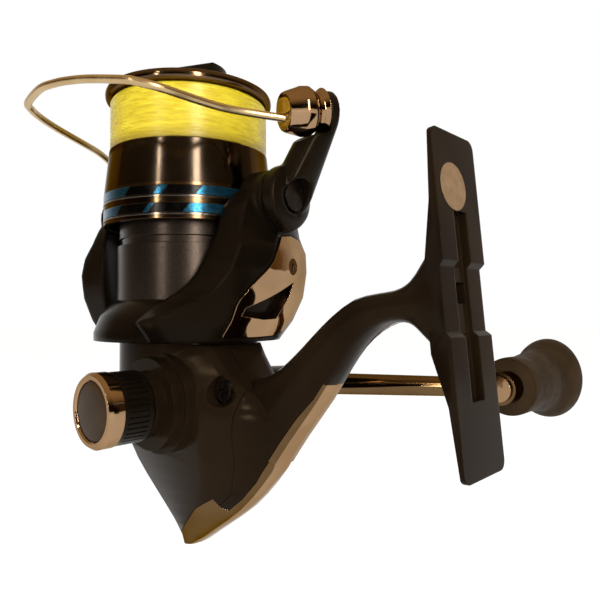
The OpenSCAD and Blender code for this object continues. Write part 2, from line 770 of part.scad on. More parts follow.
// Knob rings: round at the neck and drawn flatter toward the bulb
knob_neck = 7.4;
bulb_y = knob_l - 5.6;
knob_profile = curve([[knob_neck - 0.8, 0], [knob_neck, 1], [knob_neck, 9], [knob_neck + 0.5, 14],
    [knob_r - 2.6, 20.5], [knob_r - 0.6, bulb_y - 4], [knob_r, bulb_y], [knob_r - 0.9, bulb_y + 2.4],
    [knob_r - 3.4, bulb_y + 4.4], [knob_r - 5.8, knob_l]], 2);
function knob_flat(y) = 1 - 0.19 * min(1, max(0, (y - 11) / 10));
function knob_ring(p) = [for (k = [0:39])
    [knob_flat(p.y) * p.x * sin(9 * k), p.y, p.x * cos(9 * k)]];

module crank_knob() {
    color(dark) in_frame() at_knob() translate([0, knob_y, 0]) difference() {
        loft([for (p = knob_profile) knob_ring(p)]);
        rod_y(post_r + run_fit, -1, knob_l + 1);
        rod_y(post_r + 1.1 + gap, knob_l - 5 - gap, knob_l + 1);
    }
}

module knob_end_cap() {
    color(dark) in_frame() at_knob() rod_y(post_r + 1.1 + gap, knob_y + knob_l - 3, knob_y + knob_l);
}

module oscillation_gear() {
    color(dark) in_frame() translate([osc_x, 0, osc_z]) difference() {
        union() {
            slab_y(osc_y, osc_y + osc_t) gear_shape(osc_teeth, osc_pitch - 0.9, osc_pitch - 0.2);
            translate([pin_orbit * cos(pin_angle), 0, pin_orbit * sin(pin_angle)])
                rod_y(pin_r, osc_y + 0.2, slider_y[0] - gap);
        }
        rod_y(osc_post_r + run_fit, osc_y - 1, osc_y + osc_t + 1);
    }
}

module main_shaft() {
    color(steel) in_frame() difference() {
        translate([0, 0, slider_z - slider_h / 2])
            cylinder(r = shaft_r, h = shaft_top - slider_z + slider_h / 2);
        translate([0, -4, slider_z]) rod_y(0.8, 0, 8);
    }
}

module oscillation_slider() {
    color(brass) in_frame() difference() {
        translate([-2.9, slider_y[0], slider_z - slider_h / 2])
            cube([guide_x + 5.2, slider_y[1] - slider_y[0], slider_h]);
        translate([0, 0, slider_z - 5]) cylinder(r = shaft_r, h = 10);
        translate([guide_x, 0, slider_z - 5]) cylinder(r = guide_r + run_fit, h = 10);
        translate([osc_x - pin_orbit - 1.4, slider_y[0] - 1, slider_z - pin_r - 0.1])
            cube([2 * pin_orbit + 2.8, 1.5, 2 * pin_r + 0.2]);
        translate([0, 0, slider_z]) rod_y(0.8, slider_y[0] + 0.4, 5);
    }
}

module slider_screw() {
    color(steel) in_frame() translate([0, 0, slider_z]) {
        rod_y(0.8, slider_y[0] + 0.4, slider_y[1]);
        rod_y(1.5, slider_y[1], slider_y[1] + 0.7);
    }
}

module spool_seat_washer() {
    color(steel) in_frame() ring(5.4, shaft_r, line_z - deck_h - 3.2, line_z - deck_h - 0.1);
}

// Spool body: skirt, deck, arbor and front flange turned as one
module spool() {
    base_r = shaft_r + run_fit;
    groove_r = skirt_r - band_t;
    lower = [skirt_z + band_z[0], skirt_z + band_z[0] + band_h];
    upper = [skirt_z + band_z[1], skirt_z + band_z[1] + band_h];
    color(gunmetal) in_frame() rotate_extrude() polygon([
        [base_r, line_z - deck_h], [skirt_top_r - 1.5, line_z - deck_h],
        [skirt_r - skirt_wall, skirt_z + 8], [skirt_r - skirt_wall, skirt_z], [skirt_r, skirt_z],
        [skirt_r, lower[0]], [groove_r, lower[0]], [groove_r, lower[1]], [skirt_r, lower[1]],
        [skirt_r, upper[0]], [groove_r, upper[0]], [groove_r, upper[1]], [skirt_r, upper[1]],
        [skirt_top_r, line_z], [arbor_r, line_z], [arbor_r, lip_z],
        [line_r - 0.4, lip_z], [line_r - 0.4, spool_top - 0.9],
        [drag_r + 2.4, spool_top - 2.6], [drag_r + 0.6, spool_top - 4.4], [drag_r + 0.6, knob_z - 0.6],
        [well_r, knob_z - 0.6], [well_r, well_z], [base_r, well_z]]);
}

module spool_lip() {
    color(gunmetal) in_frame() rotate_extrude() polygon(concat(
        [[line_r - 0.4, lip_z], [line_r + 0.2, lip_z]],
        [for (k = [0:6]) [lip_r - 0.5 + 0.5 * sin(30 * k), lip_z + 0.1 + 0.47 * lip_h * (1 - cos(30 * k))]],
        [[line_r - 0.4, spool_top]]));
}

module skirt_bands() {
    color(blue) in_frame() for (z = band_z)
        ring(skirt_r + 0.06, skirt_r - band_t, skirt_z + z, skirt_z + z + band_h);
}

module skirt_trim_rings() {
    trim = 0.35;
    color(chrome) in_frame() for (z = [band_z[0] - trim - 0.2, band_z[1] - trim - 0.2])
        ring(skirt_r + 0.12, skirt_r, skirt_z + z, skirt_z + z + trim);
}

washer_step = washer_t + 0.1;
stack_z = well_z + washers * washer_step;

module drag_washers() {
    color(dark) in_frame() for (k = [0:washers - 1]) translate([0, 0, well_z + 0.05 + k * washer_step])
        ring(well_r - 0.2, shaft_r + gap, 0, washer_t);
}

module drag_retainer() {
    color(steel) in_frame() ring(well_r - run_fit, well_r - 1.2, stack_z + 0.15, stack_z + 0.75);
}

module line_core() {
    color("#d9d414") in_frame() ring(line_r - line_d - 0.2, arbor_r, line_z + 0.02, lip_z - 0.02);
}

// One unbroken line, laid up the spool in turns over the core
line_rings = 24;
line_pitch = (line_h - 2 * line_d) / line_turns;
line_wind_r = line_r - line_d / 2;
line_last_ring = line_turns * line_rings;
line_coil = [for (k = [0:line_last_ring]) let (a = 360 * k / line_rings)
    [line_wind_r * cos(a), line_wind_r * sin(a), line_z + line_d + line_pitch * k / line_rings]];
line_first = line_coil[0] - line_d * unit(line_coil[1] - line_coil[0]);
line_end = line_coil[line_last_ring];
line_last = line_end + line_d * unit(line_end - line_coil[line_last_ring - 1]);
line_path = concat([line_first], line_coil, [line_last]);
line_span = len(line_path) - 1;
line_gap = min([for (i = [0:line_span - line_rings / 2])
    for (j = [i + line_rings / 2:min(i + 2 * line_rings, line_span)])
    norm(line_path[i] - line_path[j])]) - line_d;
echo(least_gap_of_the_line_to_itself = line_gap);

module line_winding() {
    color("#e6e01a") in_frame() tube(line_path, line_d / 2, 6);
}

module drag_knob() {
    grip_w = 8;
    grip_turn = 24;
    color(black) in_frame() difference() {
        union() {
            translate([0, 0, knob_z]) cylinder(r = drag_r, h = knob_rim - 0.8);
            translate([0, 0, knob_z + knob_rim - 0.8]) cylinder(r1 = drag_r, r2 = drag_r - 1, h = 0.8);
            intersection() {
                translate([0, 0, knob_z + knob_rim - 0.4])
                    cylinder(r1 = drag_r - 0.6, r2 = drag_r - 2.2, h = knob_grip_h);
                rotate([0, 0, grip_turn]) translate([-drag_r, -grip_w / 2, knob_z])
                    cube([2 * drag_r, grip_w, 40]);
            }
        }
        translate([0, 0, knob_z - 1]) cylinder(r = 5, h = knob_rim + 1.4);
        translate([0, 0, knob_z]) cylinder(r = shaft_r + run_fit, h = shaft_top - knob_z + gap);
        for (k = [0:17]) rotate([0, 0, 20 * k]) translate([drag_r, 0, knob_z - 1])
            cylinder(r = 0.5, h = knob_rim + 0.2);
    }
}

module drag_spring() {
    color(steel) in_frame() ring(4.6, 3.6, stack_z + 0.1, knob_z + knob_rim - 1.4);
}

module drag_nut() {
    color(brass) in_frame() difference() {
        translate([0, 0, knob_z + knob_rim - 1.3]) cylinder(r = 4.9, h = 1.6);
        translate([0, 0, knob_z]) cylinder(r = shaft_r + run_fit, h = 20);
    }
}

module arm_band(side) {
    rotate_extrude() polygon(concat(arm_profile(side), arm_inner));
}

module arm_outline() {
    polygon(concat(curve(arm_left, 3), curve(arm_right, 3)));
}

// Space of an arm cover, a skin of the arm inside the cover's outline
module cover_skin(side, depth, grow, raise) {
    intersection() {
        rotate_extrude() polygon(concat([for (p = arm_profile(side)) p + [raise, 0]],
            flip([for (p = arm_profile(side)) p - [depth, 0]])));
        slab_x(10, 40) polygon([for (p = curve(concat(cover_edge, [cover_edge[0]]), 2)) p * (1 + grow)]);
    }
}

module rotor() {
    color(black) in_frame() difference() {
        union() {
            rotate_extrude() polygon([
                [0, deck_z], [cavity_r, deck_z], [cavity_r, -4], [rim_r - 3.6, -rim_drop],
                [rim_r, -rim_drop], [rim_r, -8.4], [21.6, -4.4], [19.4, -1.8], [hub_r, -0.6],
                [hub_r, groove_z - 0.8], [hub_r - 1, groove_z - 0.7], [hub_r - 1, groove_z + 0.9],
                [hub_r - 0.5, groove_z + 1], [hub_r - 0.5, hub_h], [cavity_r - 0.6, hub_h],
                [cavity_r - 0.6, deck_z + deck_t], [6.8, deck_z + deck_t], [6.8, 10.6], [0, 10.6]]);
            for (side = [0, 1]) at_arm(side) difference() {
                union() {
                    intersection() {
                        arm_band(side);
                        slab_x(10, 40) arm_outline();
                    }
                    translate([0, 0, pivot_z]) rod_x(ear_r, arm_in + 0.5, ear_out - side * far_ear_in);
                }
                translate(spring_at - [spring_r + 0.2, spring_r + 0.2, spring_l / 2 + 0.2])
                    cube([8, 2 * spring_r + 0.4, spring_l + 0.4]);
            }
        }
        translate([0, 0, -20]) cylinder(r = pinion_shaft_r, h = 40);
        for (side = [0, 1]) at_arm(side) {
            cover_skin(side, cover_t, 0.012, 2);
            translate([0, 0, pivot_z]) rod_x(pivot_r, arm_in + 1, 40);
            translate([0, cover_screw.x, cover_screw.y]) rod_x(1, arm_r - 0.9 - cover_screw_l, 40);
        }
    }
}

module pinion_gear() {
    color(brass) in_frame() difference() {
        union() {
            translate([0, 0, pinion_low]) linear_extrude(cavity_top + 0.9 - pinion_low)
                gear_shape(pinion_teeth, pinion_r - 1.1, pinion_r);
            translate([0, 0, pinion_low]) cylinder(r = pinion_shaft_r, h = pinion_high - pinion_low);
        }
        translate([0, 0, pinion_low - 1]) cylinder(r = shaft_r + run_fit, h = 60);
    }
}

module rotor_nut() {
    color(steel) in_frame() difference() {
        translate([0, 0, 10.6]) cylinder(r = 5.6, h = 3, $fn = 6);
        translate([0, 0, 10]) cylinder(r = pinion_shaft_r, h = 8);
    }
}

module arm_covers() {
    color(chrome) in_frame() for (side = [0, 1]) at_arm(side) difference() {
        cover_skin(side, cover_t - 0.1, 0, 0.25);
        slab_x(10, 40) polygon(cover_window);
        translate([0, cover_screw.x, cover_screw.y]) {
            rod_x(1 + run_fit, 10, 40);
            rod_x(cover_screw_r + 0.2, arm_r - 0.9, 40);
        }
    }
}

module cover_screws() {
    color(steel) in_frame() for (side = [0, 1]) at_arm(side)
        translate([arm_r - 0.1, cover_screw.x, cover_screw.y]) rotate([0, 90, 0])
            cross_screw(cover_screw_r, 0.8, 1, cover_screw_l);
}

module bail_spring() {
    color(steel) in_frame() at_arm() translate([spring_at.x, spring_at.y, spring_at.z - spring_l / 2])
        cylinder(r = spring_r, h = spring_l);
}

function pivot_end(side) = (side == 0 ? bail_out : lever_out) - 0.6;
module pivot_screws() {
    color(steel) in_frame() for (side = [0, 1]) at_arm(side) translate([0, 0, pivot_z]) {
        rod_x(pivot_r, arm_in + 1, pivot_end(side));
        rod_x(pivot_r + 1.3, pivot_end(side), pivot_end(side) + 0.8);
    }
}

// Places along the roller axis, measured from the bail arm's face
module on_roller(s) {
    translate(roller_at + (s - 1.5) * unit(roller_axis)) aim(roller_axis) children();
}

module bail_arm() {
    eye_t_bail = 2.4;
    tip_drop = 6;
    color(black) in_frame() at_arm() difference() {
        union() {
            hull() {
                translate([0, 0, pivot_z]) rod_x(ear_r + 0.6, bail_in, bail_out - 0.6, $fn = 32);
                translate([0, 0, pivot_z]) rod_x(ear_r - 1.4, bail_in, bail_out, $fn = 32);
                translate([0, 0.4, pivot_z - tip_drop]) rod_x(2, bail_in + 0.2, bail_out - 1, $fn = 24);
            }
            hull() {
                translate([0, 1.2, pivot_z + 1.4])
                    rod_x(ear_r - 2, bail_in + 0.4, bail_out + 0.6, $fn = 32);
                on_roller(-eye_t_bail) cylinder(r = eye_r_bail, h = eye_t_bail, $fn = 32);
            }
        }
        translate([0, 0, pivot_z]) {
            rod_x(pivot_r + run_fit, 10, 50);
            rod_x(pivot_r + 1.3 + gap, bail_out - 0.9, 50);
        }
        on_roller(-3) cylinder(r = roller_pin_r, h = 20);
        on_roller(0.08) cylinder(r = roller_r + 1.2, h = 14);
    }
}

module bail_lever() {
    color(black) in_frame() at_arm() difference() {
        hull() {
            translate([0, 0, pivot_z]) rod_x(ear_r - 1, -lever_out, -lever_in, $fn = 32);
            translate(wire_end - [0, 0, 1.6]) cylinder(r = 1.6, h = 5, $fn = 24);
        }
        translate([0, 0, pivot_z]) {
            rod_x(pivot_r + run_fit, -50, -10);
            rod_x(pivot_r + 1.3 + gap, -50, -lever_out + 0.9);
        }
        translate(wire_end) cylinder(r = wire_d / 2 + 0.02, h = 12);
    }
}

module bail_wire() {
    n = len(wire_path) - 1;
    middle = curve([for (i = [1:n - 1]) wire_path[i]], 3);
    color(chrome) in_frame() at_arm()
        tube(concat([wire_path[0]], middle, [wire_path[n]]), wire_d / 2, 8, [0.35, 0.2, 0.9]);
}

module roller_cone() {
    start = roller_w + 2 * gap;
    socket = wire_path[1] - wire_path[0];
    color(chrome) in_frame() at_arm() difference() {
        on_roller(start) {
            cylinder(r = roller_r + 0.4, h = 2.2);
            translate([0, 0, 2.2])
                cylinder(r1 = roller_r + 0.4, r2 = roller_r - 0.8, h = cone_l - 2.2, $fn = 10);
        }
        on_roller(0) cylinder(r = roller_pin_r, h = start + pin_in_cone);
        translate(wire_path[0]) aim(socket) cylinder(r = wire_d / 2 + 0.02, h = 12);
    }
}

module roller_pin() {
    color(steel) in_frame() at_arm() on_roller(-3)
        cylinder(r = roller_pin_r, h = 3 + roller_w + 2 * gap + pin_in_cone);
}

module line_roller() {
    color(chrome) in_frame() at_arm() on_roller(gap) rotate_extrude() polygon([
        [roller_pin_r + run_fit, 0], [roller_r, 0],
        [roller_r - 0.7, roller_w * 0.35], [roller_r - 0.7, roller_w * 0.65], [roller_r, roller_w],
        [roller_pin_r + run_fit, roller_w]]);
}

body_frame();
side_cover();
rear_guard();
body_screws();
crank_bearings();
clutch_housing_bearing();
roller_clutch();
clutch_cover();
clutch_screws();
guide_rod();
anti_reverse_lever();
drive_gear();
screw_cap();
cap_ring();
cap_dome();
crank_hub();
crank_pin();
crank_arm();
knob_post();
crank_knob();
knob_end_cap();
oscillation_gear();
main_shaft();
oscillation_slider();
slider_screw();
spool_seat_washer();
spool();
spool_lip();
skirt_bands();
skirt_trim_rings();
drag_washers();
drag_retainer();
line_core();
line_winding();
drag_knob();
drag_spring();
drag_nut();
rotor();
pinion_gear();
rotor_nut();
arm_covers();
cover_screws();
bail_spring();
pivot_screws();
bail_arm();
bail_lever();
bail_wire();
roller_cone();
roller_pin();
line_roller();
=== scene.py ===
import json
import math

import bmesh
import bpy
import numpy as np
from mathutils import Matrix, Vector

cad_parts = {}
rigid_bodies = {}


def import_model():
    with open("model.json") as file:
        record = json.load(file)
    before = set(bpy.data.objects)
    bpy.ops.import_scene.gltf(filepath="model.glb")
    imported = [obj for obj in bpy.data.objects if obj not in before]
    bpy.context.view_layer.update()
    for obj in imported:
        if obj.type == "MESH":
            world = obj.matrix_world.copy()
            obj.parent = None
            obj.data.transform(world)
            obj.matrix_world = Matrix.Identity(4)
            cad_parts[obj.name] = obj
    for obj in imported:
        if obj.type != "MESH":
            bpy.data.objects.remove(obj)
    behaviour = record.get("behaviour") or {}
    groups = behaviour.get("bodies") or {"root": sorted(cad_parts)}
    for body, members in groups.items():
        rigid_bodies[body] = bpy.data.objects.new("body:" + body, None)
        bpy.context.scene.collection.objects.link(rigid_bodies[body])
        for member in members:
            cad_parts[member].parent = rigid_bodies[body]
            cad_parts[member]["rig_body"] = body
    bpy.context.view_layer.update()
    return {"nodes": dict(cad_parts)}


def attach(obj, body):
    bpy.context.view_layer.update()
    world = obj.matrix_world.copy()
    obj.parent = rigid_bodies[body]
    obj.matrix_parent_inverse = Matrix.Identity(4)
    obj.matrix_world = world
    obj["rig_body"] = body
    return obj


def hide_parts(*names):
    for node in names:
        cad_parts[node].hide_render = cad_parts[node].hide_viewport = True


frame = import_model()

mm = 0.001
spoolX = -74.07676                  # spool axis in the part's frame, mm
rotorFloor = -20.28738              # height of the rotor floor in the part's frame, mm
armTurn = math.radians(6)           # turn of the near rotor arm about the spool axis
weldWithin = 0.002 * mm             # corners of CAD triangles this near are one corner
sharpEdge = math.radians(28)        # edges sharper than this keep their crease
bodySharpEdge = math.radians(40)    # the same on the cast body, which is lofted in wider steps
print("frame loaded,", len(frame["nodes"]), "nodes")


# Points about the spool axis, in mm, to the part's frame in metres
def fromAxis(p):
    return (np.asarray(p, float) + np.array([spoolX, 0, rotorFloor])) * mm


# The same for points in the frame of the near rotor arm, which is turned about the axis
def fromArm(p):
    x, y, z = np.moveaxis(np.asarray(p, float), -1, 0)
    c, s = math.cos(armTurn), math.sin(armTurn)
    return fromAxis(np.stack([c * x - s * y, s * x + c * y, z], -1))


# Angles of one full turn in even steps, without the closing one
def fullTurn(count):
    return np.linspace(0, 2 * np.pi, count, endpoint=False)


# sRGB hex to linear colour
def hexColor(h):
    v = np.array([int(h[i:i + 2], 16) for i in (1, 3, 5)]) / 255
    v = np.where(v <= 0.04045, v / 12.92, ((v + 0.055) / 1.055) ** 2.4)
    return (*v.tolist(), 1.0)


# Adds a node, sets its attributes and inputs, and links other sockets into it
def addNode(tree, kind, inputs=None, links=None, **settings):
    node = tree.nodes.new("ShaderNode" + kind)
    for key, value in settings.items():
        setattr(node, key, value)
    for key, value in (inputs or {}).items():
        node.inputs[key].default_value = value
    for key, socket in (links or {}).items():
        tree.links.new(socket, node.inputs[key])
    return node


# A material with its shader's plain sockets set, "_" standing for a space in their names;
# returns it with its tree, shader and Object coordinates
def newMaterial(name, **sockets):
    mat = bpy.data.materials.new(name)
    mat.use_nodes = True
    tree = mat.node_tree
    shader = tree.nodes["Principled BSDF"]
    for key, value in sockets.items():
        shader.inputs[key.replace("_", " ")].default_value = value
    return mat, tree, shader, addNode(tree, "TexCoord").outputs["Object"]


# Noise of a grain given in mm
def grainNoise(tree, coords, grain, detail=2.0):
    settings = {"Scale": 1 / (grain * mm), "Detail": detail}
    return addNode(tree, "TexNoise", settings, {"Vector": coords}).outputs["Fac"]


# Colour between two hex values by a noise of that grain
def tintByNoise(tree, coords, grain, dark, light, detail=3.0):
    ends = (0.35, 0.65)     # noise at which the tint is all dark and all light
    ramp = addNode(tree, "ValToRGB", None, {"Fac": grainNoise(tree, coords, grain, detail)})
    for element, place, color in zip(ramp.color_ramp.elements, ends, (dark, light)):
        element.position = place
        element.color = hexColor(color)
    return ramp.outputs["Color"]


# Number between two values by a noise of that grain
def valueByNoise(tree, coords, grain, low, high, detail=2.0):
    ends = {"From Min": 0.3, "From Max": 0.7, "To Min": low, "To Max": high}
    noise = grainNoise(tree, coords, grain, detail)
    return addNode(tree, "MapRange", ends, {"Value": noise}).outputs["Result"]


# Bump from a height signal, its depth in mm, over edges that the light rounds to a radius in mm
def addBump(tree, shader, height, depth, strength, edge=0.2):
    rounded = addNode(tree, "Bevel", {"Radius": edge * mm}).outputs["Normal"]
    bump = addNode(tree, "Bump", {"Strength": strength, "Distance": depth * mm},
                   {"Height": height, "Normal": rounded})
    tree.links.new(bump.outputs["Normal"], shader.inputs["Normal"])


# Product of tests "socket is above or below a limit"
def allTrue(tree, tests):
    product = None
    for socket, operation, limit in tests:
        test = addNode(tree, "Math", {1: limit}, {0: socket}, operation=operation).outputs[0]
        if product is not None:
            test = addNode(tree, "Math", None, {0: product, 1: test},
                           operation="MULTIPLY").outputs[0]
        product = test
    return product


# Angle about the spool axis in radians, and height in metres, for patterns laid round the spool
def aroundSpool(tree, coords):
    parts = addNode(tree, "SeparateXYZ", None, {"Vector": coords}).outputs
    outward = addNode(tree, "Math", {1: -spoolX * mm}, {0: parts["X"]}, operation="ADD").outputs[0]
    angle = addNode(tree, "Math", None, {0: parts["Y"], 1: outward},
                    operation="ARCTAN2").outputs[0]
    return angle, parts["Z"]


# A finish of one base: two near tints by a coarse noise, roughness by a finer one, and a fine
# grain as bump; grains, depth and edge radius in mm
def plainFinish(name, tints, tintGrain, roughness, roughGrain, grain, depth, strength,
                specular=None, edge=0.2, **sockets):
    mat, tree, shader, coords = newMaterial(name, **sockets)
    if specular:
        shader.inputs["Specular Tint"].default_value = hexColor(specular)
    tree.links.new(tintByNoise(tree, coords, tintGrain, *tints), shader.inputs["Base Color"])
    tree.links.new(valueByNoise(tree, coords, roughGrain, *roughness), shader.inputs["Roughness"])
    addBump(tree, shader, grainNoise(tree, coords, grain), depth, strength, edge)
    return mat


# Satin lacquer sprayed on die-cast aluminium: warm black, soft sheen, slight orange peel
castLacquer = plainFinish(
    "satinLacquerOnCastAluminium", ("#160f09", "#1e160d"), tintGrain=18, roughness=(0.14, 0.2),
    roughGrain=5, grain=0.9, depth=0.02, strength=0.06, specular="#f0d0a8", edge=0.35,
    IOR=1.4, Specular_IOR_Level=0.06)
# Lacquer of the rotor: deeper black, thicker, so that its edges look rounder
rotorLacquer = plainFinish(
    "glossLacquerOnRotor", ("#090604", "#0f0a06"), tintGrain=18, roughness=(0.18, 0.25),
    roughGrain=5, grain=0.7, depth=0.03, strength=0.08, specular="#f0d0a8", edge=1.4,
    IOR=1.45, Specular_IOR_Level=0.08)
# Moulded black nylon: duller than the lacquers, with faint flow marks
mouldedBlack = plainFinish(
    "mouldedBlackNylon", ("#0b0805", "#120d08"), tintGrain=9, roughness=(0.26, 0.34),
    roughGrain=4, grain=0.9, depth=0.03, strength=0.1, specular="#f2d6b0",
    IOR=1.53, Specular_IOR_Level=0.08)
# Graphite paint with metal flake on the rotor hub: grey grain that sparkles
hubPaint = plainFinish(
    "graphiteFlakePaint", ("#28211b", "#332a23"), tintGrain=0.3, roughness=(0.27, 0.34),
    roughGrain=0.4, grain=0.3, depth=0.02, strength=0.1, Metallic=0.85)
# Warm bright plating: mirror with a tan cast, a little waviness as on plated castings
warmChrome = plainFinish(
    "warmBrightPlating", ("#97795a", "#a58768"), tintGrain=14, roughness=(0.04, 0.09),
    roughGrain=6, grain=6, depth=0.3, strength=0.3, specular="#cdc5ba", Metallic=1.0)
# Smoked plating of the crank and the cover screws: a darker mirror; on the guard's flat sides
# the same plating is a painted dark reflection
smokedChromeAndPaintedReflection = plainFinish(
    "smokedPlatingAndPaintedReflection", ("#5f4a31", "#6d563a"), tintGrain=14, roughness=(0.08, 0.14),
    roughGrain=6, grain=5, depth=0.08, strength=0.1, specular="#b3aa9f", Metallic=1.0)
# Bronze-toned drawn wire: satin where the plating is a mirror
bronzeWire = plainFinish(
    "bronzeTonedWire", ("#bba075", "#c8ae84"), tintGrain=6, roughness=(0.25, 0.34),
    roughGrain=3, grain=0.5, depth=0.02, strength=0.12, Metallic=1.0)
# Bright steel of screws and shafts: neutral grey, finely ground
groundSteel = plainFinish(
    "groundSteel", ("#a39f98", "#b9b5ad"), tintGrain=3, roughness=(0.2, 0.32),
    roughGrain=0.8, grain=0.3, depth=0.02, strength=0.15, Metallic=1.0)
# Blackened steel of the pivot and case screws: dark with a thin oily shine
blackSteel = plainFinish(
    "blackenedSteel", ("#1b1613", "#2a231d"), tintGrain=2, roughness=(0.2, 0.3),
    roughGrain=1.5, grain=0.4, depth=0.02, strength=0.12, Metallic=0.8)
# Cut brass of the gears: yellow metal with tool marks
cutBrass = plainFinish(
    "cutBrass", ("#a8843e", "#bf9a52"), tintGrain=2, roughness=(0.22, 0.36),
    roughGrain=0.7, grain=0.3, depth=0.03, strength=0.2, Metallic=1.0)
# Bright turned trim: the silver lines round the skirt
turnedTrim = plainFinish(
    "turnedTrim", ("#5f5b57", "#716d68"), tintGrain=5, roughness=(0.14, 0.22),
    roughGrain=2, grain=0.3, depth=0.02, strength=0.1, Metallic=1.0)
# Polished dark lip of the spool: brown metal, smooth so the line slides off
lipMetal = plainFinish(
    "polishedDarkLip", ("#564330", "#634e38"), tintGrain=8, roughness=(0.1, 0.15),
    roughGrain=4, grain=0.6, depth=0.01, strength=0.06, specular="#b3aa9f", Metallic=1.0)
# Soft rubber of the crank knob: matt brown, fine pebble
knobRubber = plainFinish(
    "pebbledRubber", ("#281e13", "#31261a"), tintGrain=7, roughness=(0.5, 0.66),
    roughGrain=2, grain=0.5, depth=0.06, strength=0.2, specular="#f0dcc4",
    IOR=1.5, Specular_IOR_Level=0.05)
# Dark brown plastic disc in the cap: smooth with a soft shine
discPlastic = plainFinish(
    "darkDiscPlastic", ("#2a1e11", "#332516"), tintGrain=4, roughness=(0.28, 0.36),
    roughGrain=2, grain=0.8, depth=0.02, strength=0.1, IOR=1.5, Specular_IOR_Level=0.08)
# Grey moulded plastic of the inner pieces: matt
innerPlastic = plainFinish(
    "greyInnerPlastic", ("#2b2927", "#383532"), tintGrain=4, roughness=(0.45, 0.6),
    roughGrain=2, grain=0.4, depth=0.03, strength=0.2, IOR=1.5)
# Matt paper of the bare sticker: tan with fibre
paperSticker = plainFinish(
    "paperSticker", ("#6d563d", "#7a6248"), tintGrain=1.6, roughness=(0.6, 0.75),
    roughGrain=1, grain=0.2, depth=0.02, strength=0.2, IOR=1.45)


# Dark anodised aluminium of the spool, turned on a lathe: fine rings, and a darker bare panel
# on the skirt, placed in degrees about the axis and mm above the rotor floor
def makeAnodised():
    panel = {"from": -88, "to": 8, "low": 25.4, "high": 36.6, "tint": "#3d342b"}
    ringSpacing = 1.885     # mm, wider than real tool marks so that they show
    mat, tree, shader, coords = newMaterial("darkAnodisedAluminium", Metallic=1.0,
                                            Specular_Tint=hexColor("#b0a79c"))
    angle, height = aroundSpool(tree, coords)
    inside = allTrue(tree, ((angle, "GREATER_THAN", math.radians(panel["from"])),
                            (angle, "LESS_THAN", math.radians(panel["to"])),
                            (height, "GREATER_THAN", (panel["low"] + rotorFloor) * mm),
                            (height, "LESS_THAN", (panel["high"] + rotorFloor) * mm)))
    plain = tintByNoise(tree, coords, 12, "#4e3d2a", "#5b4833")
    tint = addNode(tree, "Mix", {7: hexColor(panel["tint"])}, {0: inside, 6: plain},
                   data_type="RGBA").outputs[2]
    tree.links.new(tint, shader.inputs["Base Color"])
    tree.links.new(valueByNoise(tree, coords, 6, 0.12, 0.18), shader.inputs["Roughness"])
    # At scale 1 the wave repeats every pi / 10
    waves = {"Scale": math.pi / 10 / (ringSpacing * mm), "Distortion": 0.5, "Detail": 1.0}
    rings = addNode(tree, "TexWave", waves, {"Vector": coords}, bands_direction="Z")
    addBump(tree, shader, rings.outputs["Fac"], 0.01, 0.05)
    return mat


# Blue metallic bands with slanted black blocks, each row by its angles in degrees about a height
# in mm, the slant in degrees per mm
def makeBlueBands():
    blocks = {"upper": ((-79.5, -58.3), (-53.2, -32.2)), "upperAt": 23.3,
              "lower": ((-86.4, -64.2), (-60.9, -39.3)), "lowerAt": 19.7,
              "middle": 21.7, "slant": 2.2, "tint": "#0d0b0a"}
    mat, tree, shader, coords = newMaterial("blueMetallicBand", Metallic=0.85)
    angle, height = aroundSpool(tree, coords)
    middle = (blocks["middle"] + rotorFloor) * mm
    slant = math.radians(blocks["slant"]) / mm
    black = None
    for name, operation in (("upper", "GREATER_THAN"), ("lower", "LESS_THAN")):
        level = (blocks[name + "At"] + rotorFloor) * mm
        lifted = addNode(tree, "Math", {1: level}, {0: height}, operation="SUBTRACT").outputs[0]
        lean = addNode(tree, "Math", {1: slant}, {0: lifted}, operation="MULTIPLY").outputs[0]
        leaned = addNode(tree, "Math", None, {0: angle, 1: lean}, operation="SUBTRACT").outputs[0]
        for start, end in blocks[name]:
            block = allTrue(tree, ((leaned, "GREATER_THAN", math.radians(start)),
                                   (leaned, "LESS_THAN", math.radians(end)),
                                   (height, operation, middle)))
            if black is not None:
                block = addNode(tree, "Math", None, {0: black, 1: block},
                                operation="ADD").outputs[0]
            black = block
    blue = tintByNoise(tree, coords, 0.5, "#153f54", "#1f5872", 4.0)
    tint = addNode(tree, "Mix", {7: hexColor(blocks["tint"])}, {0: black, 6: blue},
                   data_type="RGBA").outputs[2]
    tree.links.new(tint, shader.inputs["Base Color"])
    tree.links.new(valueByNoise(tree, coords, 1.5, 0.16, 0.26), shader.inputs["Roughness"])
    addBump(tree, shader, grainNoise(tree, coords, 0.4), 0.01, 0.1)
    return mat


# Yellow nylon line: slightly clear thread with soft gloss, a little darker from turn to turn,
# and with painted shade at the bottom of the winding, between two heights in mm
def makeNylon():
    # painted shade: the tint darkens towards the bottom of the winding
    footShade = {"low": 35.8, "high": 38.6, "tint": "#9a8420"}
    mat, tree, shader, coords = newMaterial(
        "yellowNylonLine", IOR=1.53, Subsurface_Weight=0.15, Subsurface_Scale=0.002,
        Subsurface_Radius=(1.0, 0.85, 0.2))
    flat = addNode(tree, "Mapping", {"Scale": (1, 1, 9)}, {"Vector": coords}).outputs["Vector"]
    tint = tintByNoise(tree, flat, 5, "#cdb41c", "#e9d838", 4.0)
    height = addNode(tree, "SeparateXYZ", None, {"Vector": coords}).outputs["Z"]
    # the painted shade is full at the low height and gone at the high one
    ends = {"From Min": (footShade["low"] + rotorFloor) * mm,
            "From Max": (footShade["high"] + rotorFloor) * mm}
    above = addNode(tree, "MapRange", ends, {"Value": height}).outputs["Result"]
    tint = addNode(tree, "Mix", {6: hexColor(footShade["tint"])}, {0: above, 7: tint},
                   data_type="RGBA").outputs[2]
    tree.links.new(tint, shader.inputs["Base Color"])
    tree.links.new(valueByNoise(tree, flat, 3, 0.22, 0.36), shader.inputs["Roughness"])
    addBump(tree, shader, grainNoise(tree, flat, 1.2), 0.03, 0.15)
    return mat


